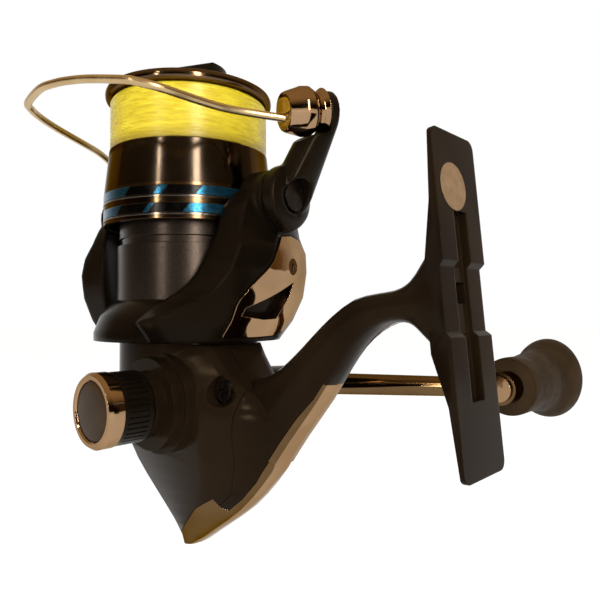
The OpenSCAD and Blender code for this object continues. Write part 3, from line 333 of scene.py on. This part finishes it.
anodised = makeAnodised()
blueBands = makeBlueBands()
nylon = makeNylon()
print("materials made,", len(bpy.data.materials))

finishes = [
    (castLacquer, "body_frame side_cover anti_reverse_lever"),
    (rotorLacquer, "rotor bail_lever"),
    (mouldedBlack, "bail_arm drag_knob screw_cap crank_hub knob_end_cap"),
    (warmChrome, "arm_covers rear_guard cap_ring roller_cone line_roller knob_post"),
    (smokedChromeAndPaintedReflection, "crank_arm cover_screws"),
    (bronzeWire, "bail_wire"),
    (anodised, "spool"),
    (lipMetal, "spool_lip"),
    (blueBands, "skirt_bands"),
    (turnedTrim, "skirt_trim_rings"),
    (nylon, "line_core line_winding"),
    (knobRubber, "crank_knob"),
    (discPlastic, "cap_dome"),
    (blackSteel, "pivot_screws body_screws"),
    (cutBrass, "drive_gear pinion_gear oscillation_gear drag_nut"),
    (innerPlastic, "oscillation_slider clutch_cover drag_washers"),
    (groundSteel, "crank_bearings clutch_housing_bearing roller_clutch clutch_screws guide_rod "
                  "crank_pin main_shaft slider_screw spool_seat_washer drag_retainer drag_spring "
                  "rotor_nut bail_spring roller_pin"),
]
finishOf = {name: mat for mat, names in finishes for name in names.split()}
for name, obj in frame["nodes"].items():
    obj.data.materials.clear()
    obj.data.materials.append(finishOf[name])
    obj.data.polygons.foreach_set("use_smooth", np.ones(len(obj.data.polygons), bool))
    weld = obj.modifiers.new("weld", "WELD")
    weld.merge_threshold = weldWithin
    split = obj.modifiers.new("edges", "EDGE_SPLIT")
    split.split_angle = bodySharpEdge if name == "body_frame" else sharpEdge
print("finishes set on the CAD nodes")


# An object from arrays of vertices in metres and faces, riding a body and standing for CAD nodes
def addPiece(name, vertices, faces, material, body, stands=(), smooth=True):
    mesh = bpy.data.meshes.new(name)
    mesh.from_pydata(np.asarray(vertices, float).tolist(), [], [list(map(int, f)) for f in faces])
    mesh.polygons.foreach_set("use_smooth", np.full(len(mesh.polygons), smooth))
    mesh.materials.append(material)
    mesh.update()
    obj = bpy.data.objects.new(name, mesh)
    bpy.context.scene.collection.objects.link(obj)
    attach(obj, body)
    if stands:
        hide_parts(*stands)
    return obj


# Faces of a grid of rings: rows of points, each row closed on itself, with the ends capped or
# the last row joined to the first
def ringFaces(rows, cols, joined=False):
    r = np.arange(rows if joined else rows - 1)[:, None] * cols
    c = np.arange(cols)[None, :]
    n = (c + 1) % cols
    after = (r + cols) % (rows * cols)
    quads = np.stack([r + c, r + n, after + n, after + c], -1).reshape(-1, 4).tolist()
    if joined:
        return quads
    return [*quads, list(range(cols))[::-1], [(rows - 1) * cols + k for k in range(cols)]]


# Catmull-Rom curve through points, with a number of steps on each span
def smoothPath(points, steps):
    p = np.asarray(points, float)
    p = np.vstack([2 * p[0] - p[1], p, 2 * p[-1] - p[-2]])
    t = np.linspace(0, 1, steps, endpoint=False)[None, :, None]
    a, b, c, d = (p[k:len(p) - 3 + k, None, :] for k in range(4))
    square, cube = 2 * a - 5 * b + 4 * c - d, 3 * b - a - 3 * c + d
    curve = 0.5 * (2 * b + (c - a) * t + square * t ** 2 + cube * t ** 3)
    return np.vstack([curve.reshape(-1, p.shape[1]), p[-2]])


# Tube round a path: at each point a ring in the plane across the path, its first arm square to a
# fixed direction that no path here runs along
def tubeRings(path, radius, sides):
    tangent = np.gradient(path, axis=0)
    tangent /= np.linalg.norm(tangent, axis=1, keepdims=True)
    side = np.cross(tangent, [0.12, 0.05, 0.99])
    side /= np.linalg.norm(side, axis=1, keepdims=True)
    up = np.cross(side, tangent)
    a = fullTurn(sides)[None, :, None]
    return path[:, None, :] + radius * (np.cos(a) * side[:, None, :] - np.sin(a) * up[:, None, :])


# A soft-edged copy of a cast or moulded CAD node: even voxels, then smoothing, as paint rounds
# every edge; the voxel in mm
def castCopy(node, voxel, rounds):
    source = frame["nodes"][node]
    mesh = source.data.copy()
    bm = bmesh.new()
    bm.from_mesh(mesh)
    bmesh.ops.remove_doubles(bm, verts=bm.verts, dist=weldWithin)
    bm.to_mesh(mesh)
    bm.free()
    obj = bpy.data.objects.new(node + "Cast", mesh)
    bpy.context.scene.collection.objects.link(obj)
    even = obj.modifiers.new("even", "REMESH")
    even.mode = "VOXEL"
    even.voxel_size = voxel * mm
    soften = obj.modifiers.new("soften", "SMOOTH")
    soften.factor = 0.5
    soften.iterations = rounds
    finished = obj.evaluated_get(bpy.context.evaluated_depsgraph_get())
    plain = bpy.data.meshes.new_from_object(finished)
    obj.modifiers.clear()
    obj.data = plain
    plain.materials.clear()
    plain.materials.append(finishOf[node])
    plain.polygons.foreach_set("use_smooth", np.ones(len(plain.polygons), bool))
    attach(obj, source["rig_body"])
    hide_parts(node)
    print("soft copy of", node, len(plain.polygons), "faces")


# Rotor hub: its faces, by distance from the axis and height in mm, take the flake paint
hub = {"inside": 16, "outside": 18.1, "low": -0.4, "high": 22}
rotorMesh = frame["nodes"]["rotor"].data
rotorMesh.materials.append(hubPaint)
centers = np.zeros(len(rotorMesh.polygons) * 3)
rotorMesh.polygons.foreach_get("center", centers)
x, y, z = centers.reshape(-1, 3).T / mm
away, up = np.hypot(x - spoolX, y), z - rotorFloor
onHub = (away < hub["outside"]) & (away > hub["inside"]) & (up > hub["low"]) & (up < hub["high"])
rotorMesh.polygons.foreach_set("material_index", onHub.astype(np.int32))

# Rear guard: faces that look sideways at all take the darker plating as a painted dark reflection,
# and its edge stays bright
guard = {"sideways": 0.3}     # sideways part of a face's normal
guardMesh = frame["nodes"]["rear_guard"].data
guardMesh.materials.append(smokedChromeAndPaintedReflection)
normals = np.zeros(len(guardMesh.polygons) * 3)
guardMesh.polygons.foreach_get("normal", normals)
# painted dark reflection: the sideways faces are picked by the way they face
darkReflectionFaces = np.abs(normals.reshape(-1, 3)[:, 1]) > guard["sideways"]
guardMesh.polygons.foreach_set("material_index", darkReflectionFaces.astype(np.int32))

bailArm = {"voxel": 0.3, "rounds": 24}
castCopy("bail_arm", bailArm["voxel"], bailArm["rounds"])
bailLever = {"voxel": 0.3, "rounds": 4}
castCopy("bail_lever", bailLever["voxel"], bailLever["rounds"])

# Crank knob: profile of radius and length, flattened across toward its end, swept round the
# post's axis at the end of the crank, which leans
knob = {"profile": [(6.6, 0), (7.4, 1), (7.4, 9), (7.9, 14), (8.6, 20.5), (10.6, 24.9),
                    (11.2, 28.9), (10.3, 31.3), (7.8, 33.3), (5.4, 34.5)],
        "steps": 8, "around": 96, "flatten": 0.19, "flatFrom": 11, "flatOver": 10,
        "lean": -1.8, "crank": (7, -24.2), "reach": 53.4, "start": 53.9}
profile = smoothPath(knob["profile"], knob["steps"])
radius, length = profile[:, :1], profile[:, 1:]
turn = fullTurn(knob["around"])
flat = 1 - knob["flatten"] * np.clip((length - knob["flatFrom"]) / knob["flatOver"], 0, 1)
lean = math.radians(knob["lean"])
along = knob["reach"] + radius * flat * np.cos(turn)
across = -radius * np.sin(turn)
rings = np.stack([knob["crank"][0] + along * math.cos(lean) + across * math.sin(lean),
                  np.repeat(length + knob["start"], knob["around"], 1),
                  knob["crank"][1] - along * math.sin(lean) + across * math.cos(lean)], -1)
addPiece("knobRubberBody", fromAxis(rings).reshape(-1, 3), ringFaces(*rings.shape[:2]),
         knobRubber, "knob", ("crank_knob",))

# Bail wire: round wire along one smooth curve
wire = {"r": 0.85, "sides": 20, "steps": 8, "path": [
    (37.1, 0.4, 38.1), (36.5, -0.2, 38.2), (32.6, -4.1, 38.9), (29.6, -7.3, 39.3),
    (27, -10.8, 39.6), (25.1, -15, 39.7), (24.3, -20, 39.7), (23.6, -24.8, 39.8),
    (22.3, -28.7, 40.2), (19.8, -31.5, 40.9), (17.1, -33, 41.6), (8.6, -35, 43.1),
    (3.1, -35.9, 43.8), (-1.6, -36.3, 44.2), (-7.4, -36.3, 44.3), (-16.3, -34, 43.9),
    (-18.8, -32, 43.5), (-21.2, -28.4, 43), (-23.3, -23.3, 42.3), (-24.5, -18.4, 41.5),
    (-25.7, -13.3, 40.7), (-27.3, -7.9, 39.9), (-28.4, -3.4, 38.2), (-28.3, -1.4, 35.8),
    (-28.2, -1, 33.4), (-28.2, -1, 29)]}
path = fromArm(smoothPath(wire["path"], wire["steps"]))
rings = tubeRings(path, wire["r"] * mm, wire["sides"])
addPiece("bailWireRound", rings.reshape(-1, 3), ringFaces(*rings.shape[:2]), bronzeWire, "bail",
         ("bail_wire",))

# Bright cone beside the line roller: a profile of length along the roller's axis and radius,
# turned about that axis
cone = {"at": (37.2, 3.1, 41.3), "axis": (-0.49, -0.86, -0.16), "back": 1.5, "around": 72,
        "profile": [(3.6, 1.6), (3.6, 5.1), (3.9, 5.4), (5.6, 5.4), (5.95, 5.25), (9.0, 4.4),
                    (9.45, 4.15), (9.6, 3.75), (9.6, 0.05)]}
axis = np.array(cone["axis"]) / np.linalg.norm(cone["axis"])
side = np.cross(axis, [0, 0, 1])
side /= np.linalg.norm(side)
over = np.cross(side, axis)
turn = fullTurn(cone["around"])[None, :, None]
profile = np.array(cone["profile"])[:, :, None]
length, radius = profile[:, :1] - cone["back"], profile[:, 1:]
rings = np.array(cone["at"]) + length * axis + radius * (np.cos(turn) * side - np.sin(turn) * over)
piece = addPiece("rollerConeTurned", fromArm(rings).reshape(-1, 3), ringFaces(*rings.shape[:2]),
                 warmChrome, "bail", ("roller_cone",))
split = piece.modifiers.new("edges", "EDGE_SPLIT")
split.split_angle = sharpEdge

# Wound line: one thread round the spool, turn upon turn up a helix, a little uneven and drawn in
# at the top; thicker than real line, so that single turns show
line = {"low": 35.85, "high": 48.35, "r": 19.5, "thread": 0.15, "sides": 6, "turns": 58,
        "around": 84, "seed": 4, "uneven": 0.02, "changes": 5, "deepest": 0.05,
        "drawnFrom": 0.94, "drawnIn": 0.5}
rng = np.random.default_rng(line["seed"])
s = np.linspace(0, 1, line["turns"] * line["around"] + 1)
changes = line["turns"] * line["changes"]
uneven = np.interp(s, np.linspace(0, 1, changes), rng.normal(0, line["uneven"], changes))
top = np.clip((s - line["drawnFrom"]) / (1 - line["drawnFrom"]), 0, 1)
away = line["r"] - line["thread"] - line["drawnIn"] * top ** 2
away += np.clip(uneven, -line["deepest"], 0)
angle = 2 * np.pi * line["turns"] * s
up = line["low"] + (line["high"] - line["low"]) * s + 0.5 * uneven
path = fromAxis(np.stack([away * np.cos(angle), away * np.sin(angle), up], -1))
rings = tubeRings(path, line["thread"] * mm, line["sides"])
addPiece("lineTurns", rings.reshape(-1, 3), ringFaces(*rings.shape[:2]), nylon, "spool_body",
         ("line_winding",))

# Sleeve of line under those turns: a closed profile of radius and height, turned about the spool
sleeve = {"around": 96, "profile": [(15, 35.72), (19.2, 35.72), (19.3, 36.2), (19.3, 46.8),
                                    (19.1, 47.7), (18.6, 48.53), (15, 48.53)]}
profile = np.array(sleeve["profile"])
turn = fullTurn(sleeve["around"])
rings = np.stack([profile[:, :1] * np.cos(turn), profile[:, :1] * np.sin(turn),
                  np.repeat(profile[:, 1:], sleeve["around"], 1)], -1)
addPiece("lineSleeve", fromAxis(rings).reshape(-1, 3), ringFaces(*rings.shape[:2], joined=True),
         nylon, "spool_body", ("line_core",))

# Bare oval sticker on the rod face: a thin disc in the tilted face's own frame, in mm from the
# part's origin sideways and up the face
sticker = {"at": (-1.6, -2.6), "size": (8.6, 8.2), "from": 0.01, "to": 0.12, "tilt": 5.8,
           "around": 64}
turn = fullTurn(sticker["around"])[:, None]
tilt = math.radians(sticker["tilt"])
normal = np.array([math.cos(tilt), 0, math.sin(tilt)])
sideways = np.array([0, 1, 0])
upward = np.array([-math.sin(tilt), 0, math.cos(tilt)])
oval = (sticker["at"][0] + sticker["size"][0] / 2 * np.cos(turn)) * sideways + \
    (sticker["at"][1] + sticker["size"][1] / 2 * np.sin(turn)) * upward
disc = np.stack([oval + sticker["from"] * normal, oval + sticker["to"] * normal])
addPiece("ovalSticker", disc.reshape(-1, 3) * mm, ringFaces(2, sticker["around"]), paperSticker,
         "body", smooth=False)
print("new pieces added")

# Camera fitted to the photograph: place in mm, turn from the front and dip in degrees
camera = {"at": (47.078, -91.529, -23.485), "yaw": 42.22, "pitch": -1.054, "lens": 35.07,
          "sensor": 36, "near": 0.005, "far": 50}
yaw, pitch = math.radians(camera["yaw"]), math.radians(camera["pitch"])
right = Vector((math.cos(yaw), math.sin(yaw), 0))
back = Vector((math.sin(yaw) * math.cos(pitch), -math.cos(yaw) * math.cos(pitch), math.sin(pitch)))
above = back.cross(right)
lens = bpy.data.cameras.new("photoCamera")
lens.lens = camera["lens"]
lens.sensor_width = camera["sensor"]
lens.clip_start = camera["near"]
lens.clip_end = camera["far"]
eye = bpy.data.objects.new("photoCamera", lens)
facing = Matrix((right, above, back)).transposed().to_4x4()
eye.matrix_world = Matrix.Translation(Vector(camera["at"]) * mm) @ facing
bpy.context.scene.collection.objects.link(eye)
bpy.context.scene.camera = eye
print("camera set")

# Pale floor under the crank's lowest reach: the camera and mirrors see it mostly as lit paper,
# and it keeps a soft shadow; half its side in metres, its height in mm about the rotor floor
floorPaper = {"half": 3.0, "height": -92, "glow": 1.14, "glowShare": 0.8,
              "tints": ("#f3f1ee", "#f8f6f3"), "grain": 40}
half, low = floorPaper["half"], fromAxis((0, 0, floorPaper["height"]))[2]
corners = [(x * half, y * half, low) for x, y in ((-1, -1), (1, -1), (1, 1), (-1, 1))]
mesh = bpy.data.meshes.new("floor")
mesh.from_pydata(corners, [], [(0, 1, 2, 3)])
floor = bpy.data.objects.new("floor", mesh)
bpy.context.scene.collection.objects.link(floor)
paper, tree, shader, coords = newMaterial("palePaper", Roughness=0.9, Specular_IOR_Level=0.1)
tree.links.new(tintByNoise(tree, coords, floorPaper["grain"], *floorPaper["tints"]),
               shader.inputs["Base Color"])
glow = addNode(tree, "Emission", {"Color": hexColor("#ffffff"), "Strength": floorPaper["glow"]})
ray = addNode(tree, "LightPath").outputs
seen = addNode(tree, "Math", None, {0: ray["Is Camera Ray"], 1: ray["Is Glossy Ray"]},
               operation="MAXIMUM").outputs[0]
seen = addNode(tree, "Math", None, {0: seen, 1: ray["Is Transmission Ray"]},
               operation="MAXIMUM").outputs[0]
share = addNode(tree, "Math", {1: floorPaper["glowShare"]}, {0: seen}, operation="MULTIPLY")
mixed = addNode(tree, "MixShader", None,
                {0: share.outputs[0], 1: shader.outputs[0], 2: glow.outputs[0]})
tree.links.new(mixed.outputs[0], tree.nodes["Material Output"].inputs["Surface"])
mesh.materials.append(paper)

# World: a white backdrop for the camera and for mirrors, even soft light, and for mirrors a dim
# warm room on the photograph's side; the walls go from straight behind the object to the front
room = {"walls": [(0.0, "#ffffff"), (0.2, "#ffffff"), (0.4, "#8a6c46"), (0.62, "#45321f"),
                  (0.8, "#1d140c"), (1.0, "#140d08")],
        "ceiling": "#c9ad80", "ceilingFrom": 0.2, "ceilingTo": 0.8,
        "soft": "#fff6ea", "softStrength": 0.5}
world = bpy.data.worlds.new("warmRoom")
bpy.context.scene.world = world
world.use_nodes = True
tree = world.node_tree
tree.nodes.clear()
ray = addNode(tree, "LightPath").outputs
direction = addNode(tree, "TexCoord").outputs["Generated"]
toFront = addNode(tree, "VectorMath", {1: (back.x, back.y, 0)}, {0: direction},
                  operation="DOT_PRODUCT").outputs["Value"]
place = addNode(tree, "MapRange", {"From Min": -1, "From Max": 1}, {"Value": toFront})
sides = addNode(tree, "ValToRGB", None, {"Fac": place.outputs["Result"]})
steps = sides.color_ramp.elements
for wall in room["walls"][1:-1]:
    steps.new(wall[0])
for step, (position, color) in zip(steps, room["walls"]):
    step.position = position
    step.color = hexColor(color)
height = addNode(tree, "SeparateXYZ", None, {"Vector": direction}).outputs["Z"]
lift = addNode(tree, "MapRange", {"From Min": room["ceilingFrom"], "From Max": room["ceilingTo"]},
               {"Value": height}, interpolation_type="SMOOTHSTEP").outputs["Result"]
mirrored = addNode(tree, "Mix", {7: hexColor(room["ceiling"])},
                   {0: lift, 6: sides.outputs["Color"]}, data_type="RGBA").outputs[2]
soft = addNode(tree, "Background", {"Color": hexColor(room["soft"]),
                                    "Strength": room["softStrength"]})
mirror = addNode(tree, "Background", {"Strength": 1.0}, {"Color": mirrored})
white = addNode(tree, "Background", {"Color": (1, 1, 1, 1), "Strength": 1.0})
lit = addNode(tree, "MixShader", None,
              {0: ray["Is Glossy Ray"], 1: soft.outputs[0], 2: mirror.outputs[0]})
shown = addNode(tree, "Math", None, {0: ray["Is Camera Ray"], 1: ray["Is Transmission Ray"]},
                operation="MAXIMUM").outputs[0]
both = addNode(tree, "MixShader", None, {0: shown, 1: lit.outputs[0], 2: white.outputs[0]})
tree.links.new(both.outputs[0], addNode(tree, "OutputWorld").inputs["Surface"])
lampColor = "#fffaf2"
lampAim = Vector(fromAxis((0, 0, 25)).tolist())     # middle of the spool skirt


# An area light aimed at the spool: azimuth and height in degrees, distance and size in metres,
# power in watts, seen in mirrors or not
def addLight(name, azimuth, elevation, distance, size, power, mirrored=True):
    lamp = bpy.data.lights.new(name, "AREA")
    lamp.shape = "RECTANGLE"
    lamp.size, lamp.size_y = size
    lamp.energy = power
    lamp.color = hexColor(lampColor)[:3]
    obj = bpy.data.objects.new(name, lamp)
    a, e = math.radians(azimuth), math.radians(elevation)
    toward = Vector((math.cos(a) * math.cos(e), math.sin(a) * math.cos(e), math.sin(e)))
    obj.location = lampAim + distance * toward
    obj.rotation_euler = toward.to_track_quat("Z", "Y").to_euler()
    obj.visible_camera = False
    obj.visible_glossy = mirrored
    bpy.context.scene.collection.objects.link(obj)
    return obj


lights = [addLight("broadStrip", -28, 14, 0.7, (0.09, 0.5), 4.2),
          addLight("narrowStripLow", -80, 5.4, 0.8, (0.035, 0.2), 1.0),
          addLight("narrowStripHigh", -80, 26.5, 0.8, (0.035, 0.1), 0.5),
          addLight("topSoft", -60, 72, 0.9, (0.6, 0.6), 4.0, mirrored=False)]
bpy.context.scene.view_settings.view_transform = "Standard"
print("floor, room and lights set")

bpy.context.view_layer.update()
